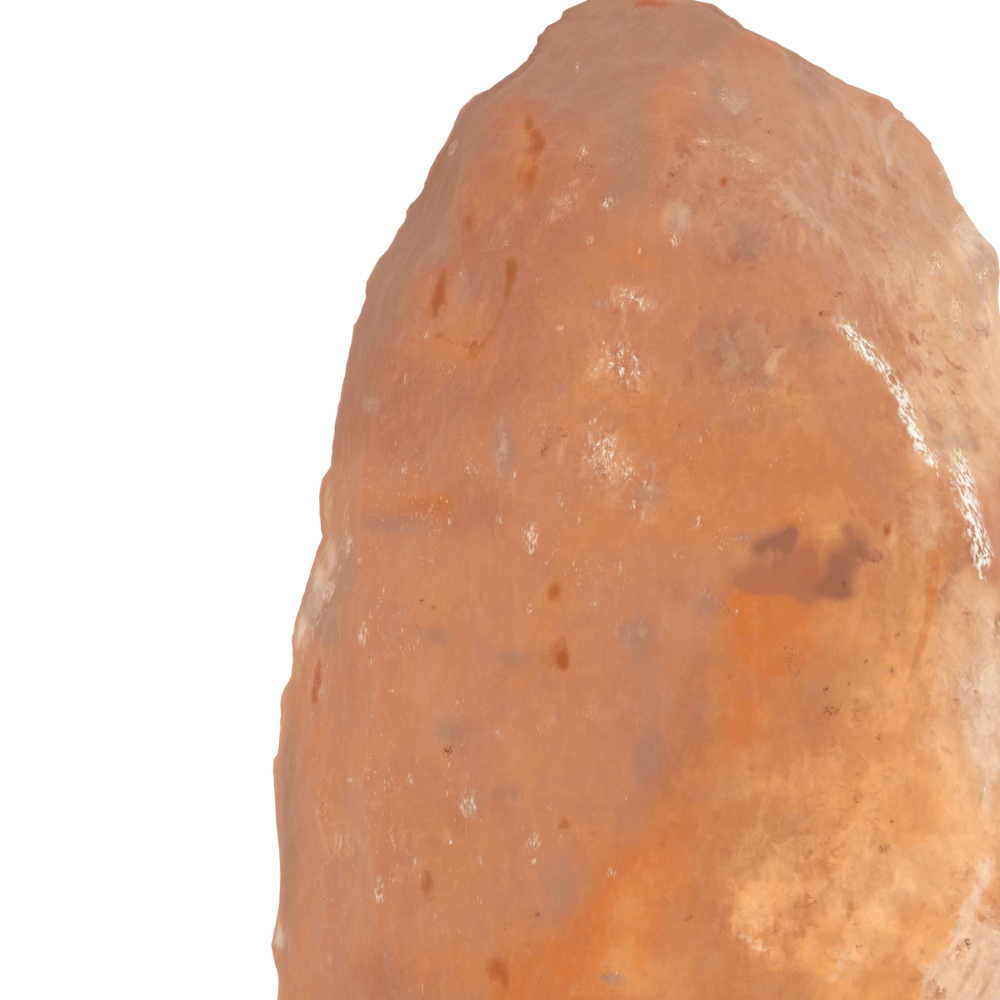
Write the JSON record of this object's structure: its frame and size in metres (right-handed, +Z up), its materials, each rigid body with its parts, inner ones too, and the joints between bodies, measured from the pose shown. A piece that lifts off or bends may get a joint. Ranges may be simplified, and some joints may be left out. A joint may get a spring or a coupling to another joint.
{
  "type": "salt crystal lamp",
  "caption": "Hewn, bored rock-salt boulder on a turned wooden base, lit from inside by a small screw-cap bulb on a spring-clip plate that pulls out from below.",
  "frame": {"origin": "on the surface the lamp stands on, on the common axis of base, bore and bulb", "axes": "+Z up along the bore; -Y towards the viewer of the picture; +X to the viewer's right; the lead's channel runs out of the base towards +Y"},
  "size_m": [0.1577, 0.146, 0.2368],
  "materials": {
    "rock_salt": "hewn, translucent, waxy with crystalline glints",
    "turned_wood": "turned, satin varnish",
    "zinc_steel": "bright zinc plate",
    "plated_sheet": "nickel-coloured plating on pressed sheet",
    "spring_steel": "tempered spring strip",
    "nylon": "natural nylon",
    "black_rubber": "moulded, matt",
    "black_plastic": "moulded thermoset, low gloss",
    "white_ceramic": "pressed steatite",
    "brass": "plain",
    "contact_bronze": "phosphor bronze strip",
    "clear_glass": "clear",
    "cap_brass": "rolled sheet",
    "black_vitrite": "fused black glass",
    "solder": "dull tin",
    "stem_glass": "clear",
    "nickel_wire": "drawn wire",
    "tungsten": "coiled wire, drawn as a rod"
  },
  "bodies": {
    "lamp_body": {"salt_crystal": "rock_salt", "wooden_base": "turned_wood", "base_screws": "zinc_steel", "screw_plugs": "nylon", "rubber_feet": "black_rubber", "foot_screws": "zinc_steel"},
    "lampholder": {"cover_plate": "plated_sheet", "spring_clips": "spring_steel", "clip_rivets": "zinc_steel", "stem_tube": "zinc_steel", "stem_locknuts": "zinc_steel", "cord_bush": "nylon", "holder_cap": "black_plastic", "holder_insert": "white_ceramic", "terminal_blocks": "brass", "terminal_screws": "brass", "centre_contact": "contact_bronze", "thread_shell": "brass", "contact_rivets": "brass", "holder_skirt": "black_plastic"},
    "bulb": {"bulb_glass": "clear_glass", "bulb_screw_cap": "cap_brass", "bulb_cap_insulator": "black_vitrite", "bulb_tip_contact": "solder", "bulb_stem": "stem_glass", "bulb_lead_wires": "nickel_wire", "bulb_filament": "tungsten", "filament_support": "nickel_wire"}
  },
  "joints": [
    {"name": "holder_slide", "type": "slide", "parent": "lamp_body", "child": "lampholder", "axis": [0, 0, -1], "range_m": [0, 0.118]},
    {"name": "bulb_turn", "type": "hinge", "parent": "lampholder", "child": "bulb", "pos_m": [0, 0, 0.065], "axis": [0, 0, 1], "range_deg": [0, 1170]}
  ]
}
